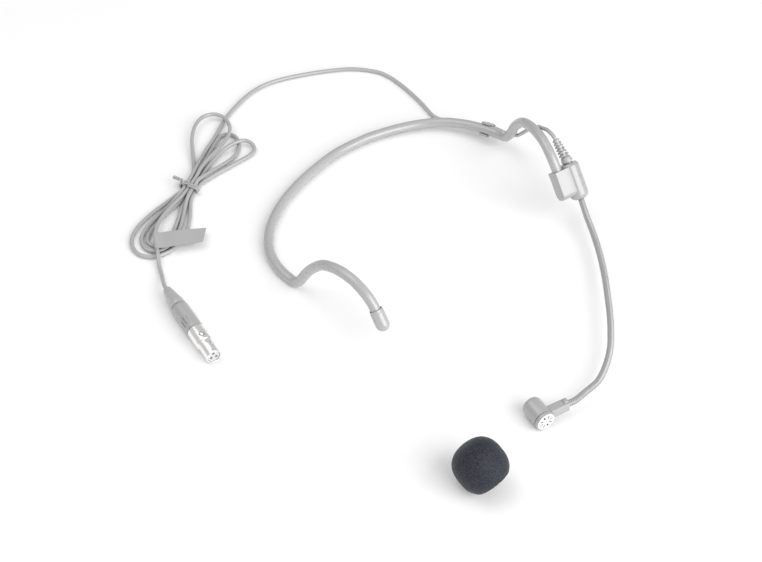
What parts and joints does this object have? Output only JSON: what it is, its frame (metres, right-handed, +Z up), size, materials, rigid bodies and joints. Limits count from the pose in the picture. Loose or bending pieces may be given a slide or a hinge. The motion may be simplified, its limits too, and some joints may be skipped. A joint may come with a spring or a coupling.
{
  "type": "headset microphone",
  "caption": "Head-worn microphone: sprung neckband with ear hooks, swivelling gooseneck boom, small capsule, loose foam windscreen and a tied thin cable with a round locking plug.",
  "frame": {"origin": "on the surface it lies on, at the middle of the footprint of everything but the free cable, its hank and its plug", "axes": "+Z up; the wearer would face -Y; +X is the wearer's left, where the boom is"},
  "size_m": [0.2324, 0.3027, 0.0451],
  "materials": {
    "sleeve_rubber": "soft satin",
    "housing_plastic": "fine satin",
    "gooseneck_steel": "coated, close-wound",
    "plug_nickel": "bright nickel",
    "contact_gold": "gold plated",
    "cable_jacket": "satin",
    "grille_plastic": "satin",
    "label_film": "satin film",
    "windscreen_foam": "open-cell foam",
    "capsule_felt": "felt",
    "circuit_board": "solder mask"
  },
  "bodies": {
    "root": {"neckband_core": "gooseneck_steel", "neckband_sleeve": "sleeve_rubber", "end_cap": "sleeve_rubber", "cable_clip": "housing_plastic", "cable_lead_in": "cable_jacket", "cable_free": "cable_jacket", "cable_hank": "cable_jacket", "cable_tail": "cable_jacket", "cable_tie": "sleeve_rubber", "cable_flag": "label_film", "plug_boot": "sleeve_rubber", "plug_backshell": "housing_plastic", "plug_shell": "plug_nickel", "plug_insert": "housing_plastic", "plug_insert_screw": "plug_nickel", "plug_cable_clamp": "plug_nickel", "plug_contact_1": "contact_gold", "plug_contact_2": "contact_gold", "plug_contact_3": "contact_gold"},
    "boom_holder": {"holder_housing": "housing_plastic", "strain_relief": "sleeve_rubber", "gooseneck_ferrule": "plug_nickel", "gooseneck_root": "gooseneck_steel", "boom_lead_root": "cable_jacket"},
    "boom_middle": {"gooseneck_mid": "gooseneck_steel", "boom_lead_mid": "cable_jacket"},
    "boom_tip": {"gooseneck_tip": "gooseneck_steel", "boom_lead_tip": "cable_jacket", "gooseneck_tip_ferrule": "plug_nickel", "capsule_arm": "housing_plastic", "capsule_body": "housing_plastic", "capsule_ring": "housing_plastic", "capsule_grille": "grille_plastic", "front_felt": "capsule_felt", "mic_element": "plug_nickel", "element_boot": "sleeve_rubber", "element_board": "circuit_board"},
    "latch_button": {"plug_latch": "plug_nickel"},
    "windscreen": {"foam_windscreen": "windscreen_foam"}
  },
  "joints": [
    {"name": "holder_swivel", "type": "hinge", "parent": "root", "child": "boom_holder", "pos_m": [0.07474, -0.00687, 0.03], "axis": [0.12, 0.6112, 0.7823], "range_deg": [0, 14]},
    {"name": "gooseneck_swing", "type": "hinge", "parent": "boom_holder", "child": "boom_middle", "pos_m": [0.03794, -0.07217, 0.008], "axis": [0, 0, 1], "range_deg": [-25, 25]},
    {"name": "gooseneck_nod", "type": "hinge", "parent": "boom_middle", "child": "boom_tip", "pos_m": [-0.00966, -0.10387, 0.0074], "axis": [-0.1591, 0.9873, 0], "range_deg": [0, 30]},
    {"name": "latch_press", "type": "slide", "parent": "root", "child": "latch_button", "axis": [0, 0, -1], "range_m": [0, 0.0006], "stiffness_N_per_m": 800},
    {"name": "windscreen_lift", "type": "slide", "parent": "root", "child": "windscreen", "axis": [0, 0, 1], "range_m": [0, 0.08]}
  ]
}
